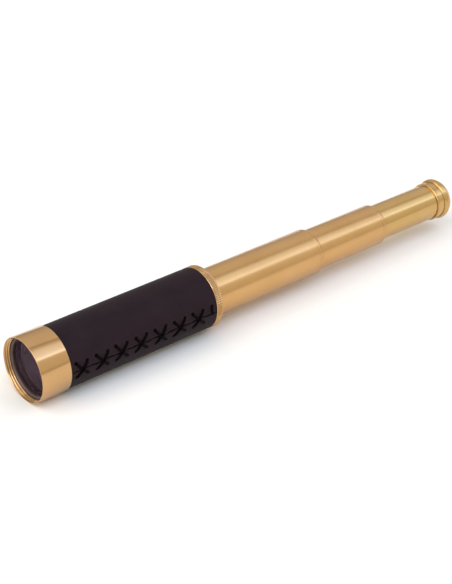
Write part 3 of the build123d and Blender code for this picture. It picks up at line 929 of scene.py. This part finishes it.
def make_lacing():
    """Every strand as a plied, slightly flattened cord that dives into its two holes."""
    points, faces = [], []
    phi = np.arange(CORD_AROUND) * TURN / CORD_AROUND
    for number, (start, stop, over) in enumerate(STRANDS):
        line, angle, along = cord_line(number, start, stop, over)
        forward = unit(np.gradient(line, axis=0))
        across = unit(np.cross(forward, round_axis(np.zeros(CORD_RINGS), angle, np.ones(CORD_RINGS))))
        up = np.cross(across, forward)
        twist = 1.5 * phi[None, :] + (along * PLY_TWIST)[:, None]
        ply = 1 + PLY_DEPTH * (np.abs(np.sin(twist)) - 0.5)
        ring = line[:, None, :] + across[:, None, :] * (CORD_WIDE / 2 * np.cos(phi) * ply)[..., None] \
            + up[:, None, :] * (CORD_THICK / 2 * np.sin(phi) * ply)[..., None]
        points.append(ring.reshape(-1, 3))
        index = (number * CORD_RINGS * CORD_AROUND
                 + np.arange(CORD_RINGS * CORD_AROUND).reshape(CORD_RINGS, CORD_AROUND))
        beside = np.roll(index, -1, 1)
        faces += np.stack([index[:-1], index[1:], beside[1:], beside[:-1]], -1).reshape(-1, 4).tolist()
        faces += [index[0].tolist(), index[-1][::-1].tolist()]
    mesh_piece("lacing_cord", np.concatenate(points), faces, "waxed_thread", "barrel", "lacing")


make_lacing()


# ---- floor, light ----

FLOOR_HALF = 3.0
FLOOR_GAP = 0.1 * MM        # under the telescope
FLOOR_DULL = (0.91, 0.86, 0.77)
FLOOR_PALE = (0.93, 0.88, 0.79)


def make_floor():
    """A pale floor under the cell."""
    level = -cell.outer - FLOOR_GAP
    corners = [(x * FLOOR_HALF, y * FLOOR_HALF, level) for x, y in ((-1, -1), (1, -1), (1, 1), (-1, 1))]
    mesh = bpy.data.meshes.new("floor")
    mesh.from_pydata(corners, [], [(0, 1, 2, 3)])
    m = Surface("floor")
    paper = m.noise((6, 6, 6), detail=2)
    m.drive("Base Color", m.colours(paper, FLOOR_DULL, FLOOR_PALE))
    m.set(Roughness=0.9, Specular_IOR_Level=0.1)
    mesh.materials.append(m.material)
    add_object("floor", mesh)


def make_softbox(name, place, size, power):
    """A square soft box that faces the telescope's front end."""
    data = bpy.data.lights.new(name, "AREA")
    data.shape = "SQUARE"
    data.size = size
    data.energy = power
    light = add_object(name, data)
    light.location = place
    light.rotation_euler = (-Vector(place)).to_track_quat("-Z", "Y").to_euler()


# The studio's brightness and tint by direction: the angle round the telescope's axis in degrees, then red,
# green and blue. A cool soft box hangs over the near side, and a warm wall is below it.
STUDIO = [
    (-96, 0.52, 0.48, 0.44),
    (-84, 0.50, 0.47, 0.43),
    (-64, 0.72, 0.70, 0.67),
    (-44, 0.84, 0.83, 0.81),
    (-10, 0.88, 0.87, 0.85),
    (-4, 0.58, 0.55, 0.50),
    (2, 0.72, 0.70, 0.68),
    (12, 1.15, 1.27, 1.50),
    (24, 1.30, 1.48, 1.88),
    (35, 1.45, 1.70, 2.30),
    (39, 1.85, 2.20, 3.00),
    (43, 1.75, 2.10, 2.80),
    (47, 0.96, 0.96, 0.92),
    (60, 0.88, 0.86, 0.77),
    (80, 0.86, 0.82, 0.70),
    (83, 0.70, 0.66, 0.55),
    (87, 0.70, 0.66, 0.55),
    (90, 0.95, 0.95, 0.95),
]


def make_world():
    """The studio round the telescope, shaded by the angle round the telescope's axis."""
    world = bpy.data.worlds.new("studio")
    world.use_nodes = True
    tree = Tree(world.node_tree)
    background = tree.add("ShaderNodeBackground")
    output = tree.add("ShaderNodeOutputWorld")
    apart = tree.add("ShaderNodeSeparateXYZ")
    tree.join(tree.add("ShaderNodeTexCoord").outputs["Generated"], apart.inputs[0])
    towards_near = tree.combine(apart.outputs["Y"], -1.0, "MULTIPLY")
    angle = tree.combine(towards_near, apart.outputs["Z"], "ARCTAN2")
    ramp = tree.add("ShaderNodeValToRGB")
    tree.join(tree.spread(angle, -math.pi, math.pi, 0.0, 1.0), ramp.inputs[0])
    tree.join(ramp.outputs[0], background.inputs[0])
    tree.join(background.outputs[0], output.inputs[0])
    elements = ramp.color_ramp.elements
    for number, (degrees, *colour) in enumerate(STUDIO):
        position = (degrees + 180) / 360
        element = elements[number] if number < 2 else elements.new(position)
        element.position = position
        element.color = (*colour, 1)
    bpy.context.scene.world = world


make_floor()
make_world()
make_softbox("front_light", (-1.4, 0.0, 0.15), size=0.9, power=8)
make_softbox("top_light", (-0.95, 0.1, 1.35), size=1.7, power=11)
bpy.context.scene.view_settings.view_transform = "Standard"
